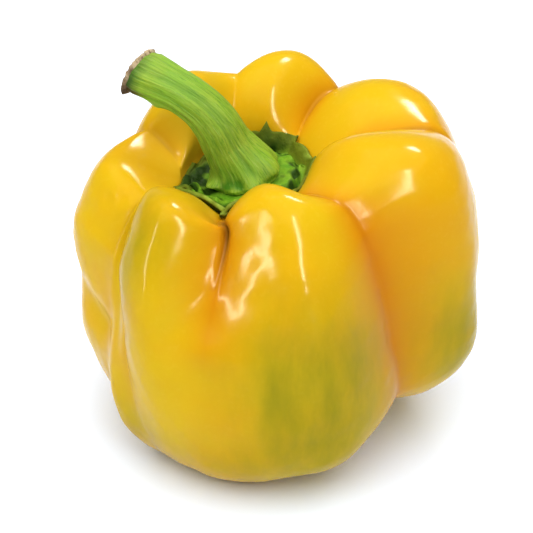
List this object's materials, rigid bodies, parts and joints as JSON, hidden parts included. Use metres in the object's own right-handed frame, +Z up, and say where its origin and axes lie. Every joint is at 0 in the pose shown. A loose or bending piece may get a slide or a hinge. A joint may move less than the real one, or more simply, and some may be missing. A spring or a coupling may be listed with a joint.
{
  "type": "bell pepper",
  "caption": "Blocky yellow sweet pepper with rounded lobes and deep furrows, a green calyx in its crown and a bent, ribbed stalk with a dried cut end.",
  "frame": {"origin": "middle of the pepper's footprint, at the level of the surface it stands on", "axes": "+Z up from the blossom end to the crown, X across the pepper as the picture shows it with the stalk bending towards -X, +Y away from the viewer"},
  "size_m": [0.0872, 0.0846, 0.0884],
  "materials": {
    "skin": "glossy waxy pepper skin, golden yellow with a little green",
    "calyx": "fresh green plant tissue, satin",
    "stalk": "light green ribbed plant stem, satin",
    "cork": "dried tan cork, rough"
  },
  "bodies": {
    "root": {"fruit": "skin", "calyx": "calyx", "stalk": "stalk", "cut_end": "cork"}
  },
  "joints": []
}
